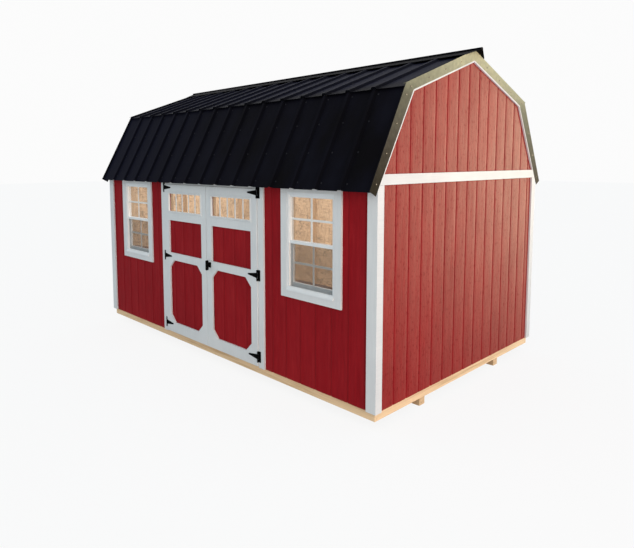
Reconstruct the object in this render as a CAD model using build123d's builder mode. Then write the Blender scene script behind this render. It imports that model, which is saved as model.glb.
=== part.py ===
"""Portable gambrel barn on skids.

A timber floor frame on two skids carries stud walls with board siding, gambrel
rafters, a roof deck and ribbed metal roof sheets. Two door leaves hang in the
front wall between two single-hung windows.

Millimetres, +Z up. X runs along the ridge, the doors face -Y and the skids
stand on Z = 0. Left and right are named as seen from in front of the doors.
"""

import os
from math import cos, hypot, radians, sin, tan

from build123d import *

os.makedirs("parts", exist_ok=True)

# Floor: two skids, a joist frame and a plywood deck.
barn_length = 4877.0
barn_width = 3048.0
skid_size = 89.0
skid_spread = 1514.0
skid_setback = 20.0
joist_depth = 89.0
lumber = 38.0
joist_bays = 12
deck_sheet = 19.0

# Walls: studs, plates, siding and white trim boards.
stud_depth = 89.0
wall_height = 2134.0
stud_bays = 8
siding = 11.0
siding_lap = 10.0
trim = 19.0
trim_width = 89.0
joint = 1.0
fit = 3.0
groove_pitch = 203.2
groove = 24.0
groove_root = 9.0
groove_depth = 5.0
groove_share = 0.5
gable_groove = 46.0
overrun = 20.0

# Gambrel roof: its eave hangs out and down past the wall, and two slopes close on the ridge.
eave_overhang = 144.0
eave_drop = 112.0
lower_slope = 1047.5
lower_pitch = radians(62)
upper_pitch = radians(20)
roof_board = 11.0
deck_setback = 45.0
rafter_depth = 89.0
frame_bays = 8
gusset = 12.0
gusset_leg = 260.0

# Ribbed roof metal, its flashings and the ridge cap.
sheet = 2.0
rib_height = 22.0
rib_pitch = 304.8
rib_base = 76.0
rib_flank = 50
break_lip = 31.0
ridge_gap = 25.0
rake_face = 96.0
rake_leg = 10.0
rake_board = 76.0
rake_flare = 30.0
rake_pinch = 8.0
cap_leg = 190.0
cap_overhang = 108.0
cap_taper = 72.0
cap_sheet = 3.0
cap_roll = 18.0

# Belt board across each gable.
belt_drop = 66.0
belt_width = 91.0

# Double door: two leaves hung between the casings.
door_half = 914.0
leaf_gap = 4.0
meeting_gap = 8.0
leaf_foot = 95.0
door_header = 105.0
leaf_board = 19.0
stile = 100.0
foot_rail = 130.0
middle_rail = 92.0
upper_panel = 413.0
light_rail = 112.0
light_tall = 228.0
head_rail = 110.0
light_edge = 3.0
corner_cut = 95.0
backing = 38.0
backing_width = 89.0
backing_inset = 12.0
backing_lift = 12.0
light_pane = 4.0

# Strap hinges and the latch.
hinge_rise = 105.0
hinge_lift = 16.0
hinge_tall = 118.0
hinge_plate = 3.0
hinge_plate_width = 36.0
barrel = 12.0
barrel_share = 0.52
pin = 6.0
pin_fit = 0.3
strap_length = 146.0
strap_root = 58.0
strap_tip = 16.0
latch_shift = 10.0
latch_tall = 62.0
latch_width = 44.0
latch_plate = 4.0
latch_stand = 28.0
latch_post = 14.0
latch_grip = 116.0
latch_grip_size = 27.0

# Single-hung windows.
window_shift = 13.0
window_width = 620.0
window_height = 950.0
window_drop = 126.0
frame_face = 20.0
frame_lip = 2.0
frame_proud = 12.0
top_rail = 24.0
meeting_rail = 30.0
meeting_drop = 11.0
sash_foot = 40.0
upper_stile = 12.0
lower_stile = 22.0
sash_depth = 26.0
pane = 4.0
pane_setback = 17.0
screen = 1.0

# Derived planes.
base = skid_size
half_length = barn_length / 2
half_width = barn_width / 2
deck_top = base + joist_depth + deck_sheet
siding_foot = base + joist_depth - siding_lap
wall_top = base + wall_height
plate_foot = wall_top - lumber
eave_reach = half_width + eave_overhang
eave_z = wall_top - eave_drop
break_reach = eave_reach - lower_slope * cos(lower_pitch)
ridge_z = eave_z + lower_slope * sin(lower_pitch) + break_reach * tan(upper_pitch)
pan_inset = rib_height + sheet
deck_inset = pan_inset + roof_board
rafter_inset = deck_inset + rafter_depth
siding_face = half_width + siding
trim_face = siding_face + trim
gable_siding_face = half_length + siding
gable_trim_face = gable_siding_face + trim
casing_out = door_half + trim_width
corner_start = gable_siding_face - trim_width
window_place = (casing_out + corner_start) / 2 - window_shift


def knee(low_inset, high_inset):
    """Point where the two roof slopes meet, each moved in square to itself."""
    foot_y = eave_reach - low_inset * sin(lower_pitch)
    foot_z = eave_z - low_inset * cos(lower_pitch)
    peak = ridge_z - high_inset / cos(upper_pitch)
    y = (foot_z + foot_y * tan(lower_pitch) - peak) / (tan(lower_pitch) - tan(upper_pitch))
    return (y, peak - y * tan(upper_pitch))


def eave_end(inset):
    """Square-cut end of the lower slope at the eave."""
    return (eave_reach - inset * sin(lower_pitch), eave_z - inset * cos(lower_pitch))


def eave_back(inset, climb):
    """The same end, cut back up the slope."""
    y, z = eave_end(inset)
    return (y - climb * cos(lower_pitch), z + climb * sin(lower_pitch))


def low_at(inset, drop):
    """Point on the lower slope, so far down from the knee."""
    y, z = knee(inset, inset)
    return (y + drop * cos(lower_pitch), z - drop * sin(lower_pitch))


def high_at(inset, climb):
    """Point on the upper slope, so far up from the knee."""
    y, z = knee(inset, inset)
    return (y - climb * cos(upper_pitch), z + climb * sin(upper_pitch))


def low_side(inset, y):
    """Point on the lower slope at a given reach from the centre."""
    foot_y, foot_z = eave_end(inset)
    return (y, foot_z + (foot_y - y) * tan(lower_pitch))


def low_level(inset, z):
    """Point on the lower slope at a given height."""
    foot_y, foot_z = eave_end(inset)
    return (foot_y - (z - foot_z) / tan(lower_pitch), z)


def high_side(inset, y):
    """Point on the upper slope at a given reach from the centre."""
    return (y, ridge_z - inset / cos(upper_pitch) - y * tan(upper_pitch))


def flip(points):
    """The same outline on the front half of the barn."""
    return [(-y, z) for y, z in points]


def prism(points, start, thickness, mode=Mode.ADD):
    """Gable outline pushed along the ridge from a given place."""
    with BuildSketch(Plane.YZ.offset(start)) as outline:
        Polygon(*points, align=None)
    extrude(outline.sketch, amount=thickness, mode=mode)


def upright(points, z0, z1, mode=Mode.ADD):
    """Floor outline pushed up between two heights."""
    with BuildSketch(Plane.XY.offset(z0)) as outline:
        Polygon(*points, align=None)
    extrude(outline.sketch, amount=z1 - z0, mode=mode)


def board(x0, x1, y0, y1, z0, z1, mode=Mode.ADD):
    """Square-cut board between two corners."""
    with Locations(((x0 + x1) / 2, (y0 + y1) / 2, (z0 + z1) / 2)):
        Box(x1 - x0, y1 - y0, z1 - z0, mode=mode)


def stations(span, bays):
    """Evenly spaced board centres, the end ones flush with the span."""
    run = span - lumber
    return [run * (i / bays) - run / 2 for i in range(bays + 1)]


# FLOOR

with BuildPart() as skids:
    with GridLocations(barn_length, skid_spread, 1, 2):
        Box(barn_length - skid_setback * 2, skid_size, skid_size, align=(Align.CENTER, Align.CENTER, Align.MIN))
skids.part.label = "skids"
export_step(skids.part, "parts/skids.step")

with BuildPart() as rim_joists:
    with Locations((0, 0, base)):
        with GridLocations(barn_length, barn_width - lumber, 1, 2):
            Box(barn_length, lumber, joist_depth, align=(Align.CENTER, Align.CENTER, Align.MIN))
rim_joists.part.label = "rim_joists"
export_step(rim_joists.part, "parts/rim_joists.step")

with BuildPart() as floor_joists:
    for x in stations(barn_length, joist_bays):
        board(x - lumber / 2, x + lumber / 2, lumber - half_width, half_width - lumber, base, base + joist_depth)
floor_joists.part.label = "floor_joists"
export_step(floor_joists.part, "parts/floor_joists.step")

with BuildPart() as floor_deck:
    board(-half_length, half_length, -half_width, half_width, base + joist_depth, deck_top)
floor_deck.part.label = "floor_deck"
export_step(floor_deck.part, "parts/floor_deck.step")

# WALL FRAMING

inner_wall = half_width - stud_depth
gable_run = inner_wall - joint
inner_gable = half_length - stud_depth

with BuildPart() as bottom_plates:
    board(-half_length, -door_half, -half_width, -inner_wall, deck_top, deck_top + lumber)
    board(door_half, half_length, -half_width, -inner_wall, deck_top, deck_top + lumber)
    board(-half_length, half_length, inner_wall, half_width, deck_top, deck_top + lumber)
    board(-half_length, -inner_gable, -gable_run, gable_run, deck_top, deck_top + lumber)
    board(inner_gable, half_length, -gable_run, gable_run, deck_top, deck_top + lumber)
bottom_plates.part.label = "bottom_plates"
export_step(bottom_plates.part, "parts/bottom_plates.step")

with BuildPart() as top_plates:
    board(-half_length, half_length, -half_width, -inner_wall, plate_foot, wall_top)
    board(-half_length, half_length, inner_wall, half_width, plate_foot, wall_top)
    board(-half_length, -inner_gable, -gable_run, gable_run, plate_foot, wall_top)
    board(inner_gable, half_length, -gable_run, gable_run, plate_foot, wall_top)
top_plates.part.label = "top_plates"
export_step(top_plates.part, "parts/top_plates.step")

stud_foot = deck_top + lumber
window_side = window_width / 2 + fit
front_studs = (
    half_length - lumber,
    window_place + window_side,
    window_place - window_side - lumber,
    door_half,
)

with BuildPart() as side_wall_studs:
    for x in front_studs:
        board(x, x + lumber, -half_width, -inner_wall, stud_foot, plate_foot)
        board(-x - lumber, -x, -half_width, -inner_wall, stud_foot, plate_foot)
    for x in stations(barn_length, stud_bays):
        board(x - lumber / 2, x + lumber / 2, inner_wall, half_width, stud_foot, plate_foot)
side_wall_studs.part.label = "side_wall_studs"
export_step(side_wall_studs.part, "parts/side_wall_studs.step")

gable_stud_bays = 5

with BuildPart() as gable_studs:
    for y in stations(gable_run * 2, gable_stud_bays):
        board(-half_length, -inner_gable, y - lumber / 2, y + lumber / 2, stud_foot, plate_foot)
        board(inner_gable, half_length, y - lumber / 2, y + lumber / 2, stud_foot, plate_foot)
gable_studs.part.label = "gable_studs"
export_step(gable_studs.part, "parts/gable_studs.step")

window_top = plate_foot - window_drop
window_sill = window_top - window_height
header_foot = plate_foot - door_header

with BuildPart() as opening_headers:
    board(-door_half, door_half, -half_width, -inner_wall, header_foot, plate_foot)
    for x in (-window_place, window_place):
        left, right = x - window_side, x + window_side
        board(left, right, -half_width, -inner_wall, window_sill - lumber, window_sill)
        board(left, right, -half_width, -inner_wall, window_top + fit, window_top + fit + lumber)
opening_headers.part.label = "opening_headers"
export_step(opening_headers.part, "parts/opening_headers.step")

# ROOF FRAMING

lower_rafter = [
    low_side(deck_inset, half_width),
    knee(deck_inset, deck_inset),
    knee(rafter_inset, rafter_inset),
    low_level(rafter_inset, wall_top),
    (half_width, wall_top),
]
ridge_half = lumber / 2
upper_rafter = [
    knee(deck_inset, deck_inset),
    high_side(deck_inset, ridge_half),
    high_side(rafter_inset, ridge_half),
    knee(rafter_inset, rafter_inset),
]
frame_places = stations(barn_length, frame_bays)

with BuildPart() as lower_rafters:
    for x in frame_places:
        prism(lower_rafter, x - lumber / 2, lumber)
        prism(flip(lower_rafter), x - lumber / 2, lumber)
lower_rafters.part.label = "lower_rafters"
export_step(lower_rafters.part, "parts/lower_rafters.step")

with BuildPart() as upper_rafters:
    for x in frame_places:
        prism(upper_rafter, x - lumber / 2, lumber)
        prism(flip(upper_rafter), x - lumber / 2, lumber)
upper_rafters.part.label = "upper_rafters"
export_step(upper_rafters.part, "parts/upper_rafters.step")

with BuildPart() as ridge_board:
    ridge_top = high_side(deck_inset, ridge_half)[1]
    ridge_low = high_side(rafter_inset, ridge_half)[1]
    board(-half_length, half_length, -ridge_half, ridge_half, ridge_low, ridge_top)
ridge_board.part.label = "ridge_board"
export_step(ridge_board.part, "parts/ridge_board.step")

gusset_plate = [
    low_at(deck_inset, gusset_leg),
    knee(deck_inset, deck_inset),
    high_at(deck_inset, gusset_leg),
    high_at(rafter_inset, gusset_leg),
    low_at(rafter_inset, gusset_leg),
]

with BuildPart() as rafter_gussets:
    for x in frame_places:
        side = x + lumber / 2 if x < 0 else x - lumber / 2 - gusset
        prism(gusset_plate, side, gusset)
        prism(flip(gusset_plate), side, gusset)
rafter_gussets.part.label = "rafter_gussets"
export_step(rafter_gussets.part, "parts/rafter_gussets.step")

# ROOF DECK AND METAL

lower_deck = [
    eave_back(pan_inset, deck_setback),
    knee(pan_inset, pan_inset),
    knee(deck_inset, deck_inset),
    eave_back(deck_inset, deck_setback),
]
upper_deck = [
    knee(pan_inset, pan_inset),
    high_side(pan_inset, joint),
    high_side(deck_inset, joint),
    knee(deck_inset, deck_inset),
]
roof_length = gable_trim_face * 2

with BuildPart() as lower_roof_deck:
    prism(lower_deck, -gable_trim_face, roof_length)
    prism(flip(lower_deck), -gable_trim_face, roof_length)
lower_roof_deck.part.label = "lower_roof_deck"
export_step(lower_roof_deck.part, "parts/lower_roof_deck.step")

with BuildPart() as upper_roof_deck:
    prism(upper_deck, -gable_trim_face, roof_length)
    prism(flip(upper_deck), -gable_trim_face, roof_length)
upper_roof_deck.part.label = "upper_roof_deck"
export_step(upper_roof_deck.part, "parts/upper_roof_deck.step")


rib_reach = int((gable_trim_face - rake_leg - rib_base / 2) / rib_pitch)
rib_count = rib_reach * 2 + 1


def ribbed_sheet(foot, pitch, run):
    """Roof sheet rolled with hollow ribs, laid up the front slope from its foot."""
    y, z = foot
    up_slope = (0, cos(pitch), sin(pitch))
    with BuildSketch(Plane(origin=(0, -y, z), x_dir=(-1, 0, 0), z_dir=up_slope)) as section:
        Rectangle(roof_length, sheet, align=(Align.CENTER, Align.MIN))
        with GridLocations(rib_pitch, 0, rib_count, 1):
            Trapezoid(rib_base, pan_inset, rib_flank, align=(Align.CENTER, Align.MIN))
        with GridLocations(rib_pitch, 0, rib_count, 1):
            hollow = rib_base - sheet * 2
            Trapezoid(hollow, rib_height, rib_flank, align=(Align.CENTER, Align.MIN), mode=Mode.SUBTRACT)
    extrude(section.sketch, amount=run)


pan_foot = eave_end(pan_inset)
pan_head = knee(pan_inset, pan_inset)
lower_run = hypot(pan_foot[0] - pan_head[0], pan_head[1] - pan_foot[1])
under_lip = pan_inset + joint
over_ribs = [
    high_side(under_lip, 0),
    high_side(under_lip, eave_reach),
    (eave_reach, ridge_z),
    (0, ridge_z),
]
lip_drop = pan_inset / sin(lower_pitch - upper_pitch) + joint
lip_foot = high_at(pan_inset, -break_lip - pan_inset * tan((lower_pitch - upper_pitch) / 2))
upper_run = (lip_foot[0] - ridge_gap) / cos(upper_pitch)

with BuildPart() as front_lower_roof:
    ribbed_sheet(pan_foot, lower_pitch, lower_run)
    # The sheet is cut along the underside of the upper one.
    prism(flip(over_ribs), -gable_trim_face - overrun, roof_length + overrun * 2, mode=Mode.SUBTRACT)
front_lower_roof.part.label = "front_lower_roof"
export_step(front_lower_roof.part, "parts/front_lower_roof.step")

with BuildPart() as front_upper_roof:
    ribbed_sheet(lip_foot, upper_pitch, upper_run)
front_upper_roof.part.label = "front_upper_roof"
export_step(front_upper_roof.part, "parts/front_upper_roof.step")

with BuildPart() as back_lower_roof:
    mirror(front_lower_roof.part, about=Plane.XZ)
back_lower_roof.part.label = "back_lower_roof"
export_step(back_lower_roof.part, "parts/back_lower_roof.step")

with BuildPart() as back_upper_roof:
    mirror(front_upper_roof.part, about=Plane.XZ)
back_upper_roof.part.label = "back_upper_roof"
export_step(back_upper_roof.part, "parts/back_upper_roof.step")

cap_end = cap_leg * cos(upper_pitch)
cap_wing = [
    high_side(-cap_sheet, 0),
    high_side(-cap_sheet, cap_end),
    high_side(0, cap_end),
    high_side(0, 0),
]

with BuildPart() as ridge_cap:
    cap_length = (half_length + cap_overhang) * 2
    with BuildSketch(Plane.YZ.offset(-cap_length / 2)):
        with Locations((0, ridge_z)):
            Circle(cap_roll)
            Circle(cap_roll - cap_sheet, mode=Mode.SUBTRACT)
        Polygon(*cap_wing, align=None)
        Polygon(*flip(cap_wing), align=None)
    extrude(amount=cap_length)
    # The roll opens downwards, clear of the roof under it.
    under_cap = [high_side(0, -cap_end), high_side(0, 0), high_side(0, cap_end)]
    under_cap[0] = (-cap_end, under_cap[2][1])
    with BuildSketch(Plane.YZ.offset(-cap_length / 2 - overrun)):
        Polygon(*under_cap, align=None)
    extrude(amount=cap_length + overrun * 2, mode=Mode.SUBTRACT)
    # The wings are trimmed back at each end.
    for end in (-cap_length / 2, cap_length / 2):
        back = end - cap_taper if end > 0 else end + cap_taper
        for side in (-1, 1):
            corner = [(end, side * cap_roll), (end, side * cap_leg), (back, side * cap_leg)]
            upright(corner, eave_z, ridge_z + overrun, mode=Mode.SUBTRACT)
ridge_cap.part.label = "ridge_cap"
export_step(ridge_cap.part, "parts/ridge_cap.step")

# SIDING

hole_half = window_width / 2 + fit
groove_run = int(half_length / groove_pitch)
groove_lines = [groove_pitch * (i + groove_share) for i in range(-groove_run, groove_run)]


def groove_section(line, face, bottom):
    """Groove with sloping flanks, wide at the face and narrow at its bottom."""
    mouth, root = groove / 2, groove_root / 2
    return [(line - mouth, face), (line + mouth, face), (line + root, bottom), (line - root, bottom)]


def cut_grooves(x0, x1, face, bottom, z0, z1):
    """Upright grooves across a sheet, on lines that run on from sheet to sheet."""
    for x in groove_lines:
        if x0 + groove < x < x1 - groove:
            upright(groove_section(x, face, bottom), z0, z1, mode=Mode.SUBTRACT)


def front_sheet(x0, x1, window):
    """Siding sheet beside the doors, with its window cut through."""
    board(x0, x1, -siding_face, -half_width, siding_foot, wall_top)
    board(
        window - hole_half, window + hole_half,
        -siding_face - overrun, overrun - half_width,
        window_sill, window_top + fit,
        mode=Mode.SUBTRACT,
    )
    cut_grooves(x0, x1, -siding_face, groove_depth - siding_face, siding_foot, wall_top)


with BuildPart() as front_siding_left:
    front_sheet(-gable_siding_face, -door_half, -window_place)
front_siding_left.part.label = "front_siding_left"
export_step(front_siding_left.part, "parts/front_siding_left.step")

with BuildPart() as front_siding_right:
    front_sheet(door_half, gable_siding_face, window_place)
front_siding_right.part.label = "front_siding_right"
export_step(front_siding_right.part, "parts/front_siding_right.step")

with BuildPart() as front_siding_over_door:
    board(-door_half, door_half, -siding_face, -half_width, header_foot, wall_top)
    cut_grooves(-door_half, door_half, -siding_face, groove_depth - siding_face, header_foot, wall_top)
front_siding_over_door.part.label = "front_siding_over_door"
export_step(front_siding_over_door.part, "parts/front_siding_over_door.step")

with BuildPart() as back_siding:
    back_end = gable_siding_face
    board(-back_end, back_end, half_width, siding_face, siding_foot, wall_top)
    cut_grooves(-back_end, back_end, siding_face, siding_face - groove_depth, siding_foot, wall_top)
back_siding.part.label = "back_siding"
export_step(back_siding.part, "parts/back_siding.step")

gable_half = [
    (half_width, siding_foot),
    low_side(deck_inset, half_width),
    knee(deck_inset, deck_inset),
]
gable_outline = gable_half + [high_side(deck_inset, 0)] + flip(gable_half)[::-1]
gable_lines = int((barn_width - gable_groove) / groove_pitch) + 1


def gable_sheet(start, face, bottom):
    """Gable siding with its upright grooves, counted from the front corner."""
    prism(gable_outline, start, siding)
    for i in range(gable_lines):
        section = groove_section(gable_groove - half_width + groove_pitch * i, face, bottom)
        upright([(x, y) for y, x in section], siding_foot, ridge_z, mode=Mode.SUBTRACT)


with BuildPart() as left_gable_siding:
    gable_sheet(-gable_siding_face, -gable_siding_face, groove_depth - gable_siding_face)
left_gable_siding.part.label = "left_gable_siding"
export_step(left_gable_siding.part, "parts/left_gable_siding.step")

with BuildPart() as right_gable_siding:
    gable_sheet(half_length, gable_siding_face, gable_siding_face - groove_depth)
right_gable_siding.part.label = "right_gable_siding"
export_step(right_gable_siding.part, "parts/right_gable_siding.step")

# TRIM BOARDS

belt_foot = wall_top - belt_drop
belt_top = belt_foot + belt_width

with BuildPart() as side_corner_boards:
    for x0, x1 in ((-gable_siding_face, -corner_start), (corner_start, gable_siding_face)):
        board(x0, x1, -trim_face, -siding_face, siding_foot, wall_top)
        board(x0, x1, siding_face, trim_face, siding_foot, wall_top)
side_corner_boards.part.label = "side_corner_boards"
export_step(side_corner_boards.part, "parts/side_corner_boards.step")

rake_inset = deck_inset + rake_board
board_knee = knee(rake_inset + rake_flare, rake_inset - rake_pinch)
lower_rake = [
    low_level(deck_inset, belt_foot),
    knee(deck_inset, deck_inset),
    board_knee,
    low_level(rake_inset, belt_foot),
]
upper_rake = [
    knee(deck_inset, deck_inset),
    high_side(deck_inset, joint),
    high_side(rake_inset, joint),
    board_knee,
]
belt_low = low_level(rake_inset + joint, belt_foot)
belt_high = low_level(rake_inset + joint, belt_top)
belt = [belt_low, belt_high] + flip([belt_high, belt_low])


def gable_trim(start, thickness):
    """Corner boards, belt board and rake boards of one gable."""
    corner_low = trim_face - trim_width
    corner_high = belt_foot - joint
    corner = [
        (corner_low, siding_foot),
        (trim_face, siding_foot),
        (trim_face, corner_high),
        (corner_low, corner_high),
    ]
    for outline in (corner, lower_rake, upper_rake):
        prism(outline, start, thickness)
        prism(flip(outline), start, thickness)
    prism(belt, start, thickness)


with BuildPart() as left_gable_trim:
    gable_trim(-gable_trim_face, trim)
left_gable_trim.part.label = "left_gable_trim"
export_step(left_gable_trim.part, "parts/left_gable_trim.step")

with BuildPart() as right_gable_trim:
    gable_trim(gable_siding_face, trim)
right_gable_trim.part.label = "right_gable_trim"
export_step(right_gable_trim.part, "parts/right_gable_trim.step")


def rake_flashing(face_start, leg_start):
    """Folded metal over the rake boards: a face and a leg along each slope."""
    face_knee = knee(rake_face + rake_flare, rake_face - rake_pinch)
    lower = [
        eave_end(0),
        low_at(0, 0),
        face_knee,
        eave_end(rake_face),
    ]
    upper = [
        high_at(0, -break_lip),
        high_side(0, joint),
        high_side(rake_face, joint),
        face_knee,
        low_at(0, 0),
    ]
    lower_leg = [eave_end(0), low_at(0, lip_drop), low_at(sheet, lip_drop), eave_end(sheet)]
    upper_leg = [
        high_at(0, -break_lip),
        high_side(0, joint),
        high_side(sheet, joint),
        high_at(sheet, -break_lip),
    ]
    for outline in (lower, upper):
        prism(outline, face_start, sheet)
        prism(flip(outline), face_start, sheet)
    for outline in (lower_leg, upper_leg):
        prism(outline, leg_start, rake_leg)
        prism(flip(outline), leg_start, rake_leg)


with BuildPart() as left_rake_flashing:
    rake_flashing(-gable_trim_face - sheet, -gable_trim_face - sheet)
left_rake_flashing.part.label = "left_rake_flashing"
export_step(left_rake_flashing.part, "parts/left_rake_flashing.step")

with BuildPart() as right_rake_flashing:
    rake_flashing(gable_trim_face, gable_trim_face + sheet - rake_leg)
right_rake_flashing.part.label = "right_rake_flashing"
export_step(right_rake_flashing.part, "parts/right_rake_flashing.step")

with BuildPart() as door_casing:
    board(-casing_out, -door_half, -trim_face, -siding_face, siding_foot, header_foot - joint)
    board(door_half, casing_out, -trim_face, -siding_face, siding_foot, header_foot - joint)
    board(-casing_out, casing_out, -trim_face, -siding_face, header_foot, header_foot + trim_width)
door_casing.part.label = "door_casing"
export_step(door_casing.part, "parts/door_casing.step")

unit_half = window_width / 2
casing_half = unit_half + trim_width

with BuildPart() as window_casings:
    for x in (-window_place, window_place):
        board(x - casing_half, x - unit_half - joint, -trim_face, -siding_face, window_sill, window_top)
        board(x + unit_half + joint, x + casing_half, -trim_face, -siding_face, window_sill, window_top)
        for z in (window_sill - trim_width - joint, window_top + joint):
            board(x - casing_half, x + casing_half, -trim_face, -siding_face, z, z + trim_width)
window_casings.part.label = "window_casings"
export_step(window_casings.part, "parts/window_casings.step")

# WINDOWS

frame_front = -siding_face - frame_proud
outer_track = frame_front + frame_proud
inner_track = outer_track + sash_depth
frame_back = inner_track + sash_depth + frame_lip
light_half = unit_half - frame_face
frame_low = window_sill + frame_face
frame_high = window_top - frame_face
meeting = (frame_low + frame_high) / 2 - meeting_drop
meeting_low = meeting - meeting_rail / 2
meeting_high = meeting + meeting_rail / 2
upper_sash = (outer_track, upper_stile, meeting_low, meeting_high, frame_high - top_rail, frame_high)
lower_sash = (inner_track, lower_stile, frame_low, frame_low + sash_foot, meeting_low, meeting_high)

with BuildPart() as window_frames:
    for x in (-window_place, window_place):
        board(x - unit_half, x + unit_half, frame_front, frame_back, window_sill, window_top)
        board(
            x - light_half, x + light_half,
            frame_front - overrun, frame_back + overrun,
            frame_low, frame_high,
            mode=Mode.SUBTRACT,
        )
        for track, side, low, glass_low, glass_high, high in (upper_sash, lower_sash):
            board(x - light_half, x + light_half, track, track + sash_depth, low, high)
            board(
                x - light_half + side, x + light_half - side,
                track, track + sash_depth,
                glass_low, glass_high,
                mode=Mode.SUBTRACT,
            )
window_frames.part.label = "window_frames"
export_step(window_frames.part, "parts/window_frames.step")

with BuildPart() as window_glass:
    for x in (-window_place, window_place):
        for track, side, low, glass_low, glass_high, high in (upper_sash, lower_sash):
            board(
                x - light_half + side, x + light_half - side,
                track + pane_setback, track + pane_setback + pane,
                glass_low, glass_high,
            )
window_glass.part.label = "window_glass"
export_step(window_glass.part, "parts/window_glass.step")

with BuildPart() as window_screens:
    for x in (-window_place, window_place):
        board(
            x - light_half, x + light_half,
            outer_track + sash_depth / 2, outer_track + sash_depth / 2 + screen,
            frame_low, meeting_low,
        )
window_screens.part.label = "window_screens"
export_step(window_screens.part, "parts/window_screens.step")

# DOOR LEAVES

leaf_out = door_half - leaf_gap
leaf_in = meeting_gap / 2
leaf_low = base + leaf_foot
leaf_high = header_foot - leaf_gap
light_head = leaf_high - head_rail
light_low = light_head - light_tall
upper_top = light_low - light_rail
upper_low = upper_top - upper_panel
lower_top = upper_low - middle_rail
lower_low = leaf_low + foot_rail
rail_middle = (lower_top + upper_low) / 2
leaf_middle = (leaf_out + leaf_in) / 2
panel_back = -siding_face
panel_front = panel_back - siding
leaf_face = panel_front - leaf_board
panel_half = (leaf_out - leaf_in) / 2 - stile
light_span = panel_half - light_edge
light_z = (light_low, light_head)


def leaf_panel(middle):
    """Siding sheet of one leaf, cut out for its row of lights."""
    wide = (leaf_out - leaf_in) / 2
    board(middle - wide, middle + wide, panel_front, panel_back, leaf_low, leaf_high)
    board(
        middle - light_span, middle + light_span,
        panel_front - overrun, panel_back + overrun,
        *light_z,
        mode=Mode.SUBTRACT,
    )
    cut_grooves(middle - wide, middle + wide, panel_front, panel_front + groove_depth, leaf_low, leaf_high)


def clipped_panel(wide, tall):
    """Panel opening with its four corners cut off square to the diagonal."""
    with BuildSketch() as opening:
        Rectangle(wide, tall)
        chamfer(opening.vertices(), length=corner_cut)
    return opening.sketch


def leaf_boards(middle):
    """White face frame: stiles, rails and the corner blocks of the lower panel."""
    wide = (leaf_out - leaf_in) / 2
    low_tall = lower_top - lower_low
    with BuildSketch(Plane.XZ.offset(-panel_front)) as face:
        with Locations((middle, (leaf_low + leaf_high) / 2)):
            Rectangle(wide * 2, leaf_high - leaf_low)
        with Locations((middle, upper_low + upper_panel / 2)):
            Rectangle(panel_half * 2, upper_panel, mode=Mode.SUBTRACT)
        with Locations((middle, light_low + light_tall / 2)):
            Rectangle(light_span * 2, light_tall, mode=Mode.SUBTRACT)
        with Locations((middle, lower_low + low_tall / 2)):
            add(clipped_panel(panel_half * 2, low_tall), mode=Mode.SUBTRACT)
    extrude(face.sketch, amount=leaf_board)


def leaf_backing(middle):
    """Frame of boards behind the panel, held back from the floor and the other leaf."""
    wide = (leaf_out - leaf_in) / 2 - backing_inset
    low, high = deck_top + backing_lift, leaf_high - backing_inset
    rails = (low + backing_width, lower_top, upper_low, upper_top)
    back = panel_back + backing
    board(middle - wide, middle + wide, panel_back, back, low, high)
    clear = wide - backing_width
    for z0, z1 in (rails[0:2], rails[2:4], light_z):
        board(
            middle - clear, middle + clear,
            panel_back - overrun, back + overrun,
            z0, z1,
            mode=Mode.SUBTRACT,
        )


def leaf_light(middle):
    """One pane filling the cut-out of the leaf."""
    front = (panel_front + panel_back - light_pane) / 2
    board(middle - light_span, middle + light_span, front, front + light_pane, *light_z)


with BuildPart() as left_door_panel:
    leaf_panel(-leaf_middle)
left_door_panel.part.label = "left_door_panel"
export_step(left_door_panel.part, "parts/left_door_panel.step")

with BuildPart() as left_door_boards:
    leaf_boards(-leaf_middle)
left_door_boards.part.label = "left_door_boards"
export_step(left_door_boards.part, "parts/left_door_boards.step")

with BuildPart() as left_door_backing:
    leaf_backing(-leaf_middle)
left_door_backing.part.label = "left_door_backing"
export_step(left_door_backing.part, "parts/left_door_backing.step")

with BuildPart() as left_door_light:
    leaf_light(-leaf_middle)
left_door_light.part.label = "left_door_light"
export_step(left_door_light.part, "parts/left_door_light.step")

with BuildPart() as right_door_panel:
    mirror(left_door_panel.part, about=Plane.YZ)
right_door_panel.part.label = "right_door_panel"
export_step(right_door_panel.part, "parts/right_door_panel.step")

with BuildPart() as right_door_boards:
    mirror(left_door_boards.part, about=Plane.YZ)
right_door_boards.part.label = "right_door_boards"
export_step(right_door_boards.part, "parts/right_door_boards.step")

with BuildPart() as right_door_backing:
    mirror(left_door_backing.part, about=Plane.YZ)
right_door_backing.part.label = "right_door_backing"
export_step(right_door_backing.part, "parts/right_door_backing.step")

with BuildPart() as right_door_light:
    mirror(left_door_light.part, about=Plane.YZ)
right_door_light.part.label = "right_door_light"
export_step(right_door_light.part, "parts/right_door_light.step")

# HINGES AND LATCH

pin_y = leaf_face - barrel / 2
hinge_places = (leaf_low + hinge_rise, rail_middle, header_foot + hinge_lift - hinge_tall / 2)
knuckle = hinge_tall * barrel_share
fixed_knuckle = (hinge_tall - knuckle) / 2 - joint

with BuildPart() as left_door_straps:
    for z in hinge_places:
        with BuildSketch(Plane.XZ.offset(-leaf_face)):
            Polygon(
                (-door_half, z - strap_root / 2),
                (-door_half + strap_length, z - strap_tip / 2),
                (-door_half + strap_length, z + strap_tip / 2),
                (-door_half, z + strap_root / 2),
                align=None,
            )
            with Locations((-door_half + strap_length, z)):
                Circle(strap_tip / 2)
        extrude(amount=hinge_plate)
        with Locations((-door_half, pin_y, z)):
            Cylinder(barrel / 2, knuckle)
            Cylinder(pin / 2 + pin_fit, knuckle, mode=Mode.SUBTRACT)
left_door_straps.part.label = "left_door_straps"
export_step(left_door_straps.part, "parts/left_door_straps.step")

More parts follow.
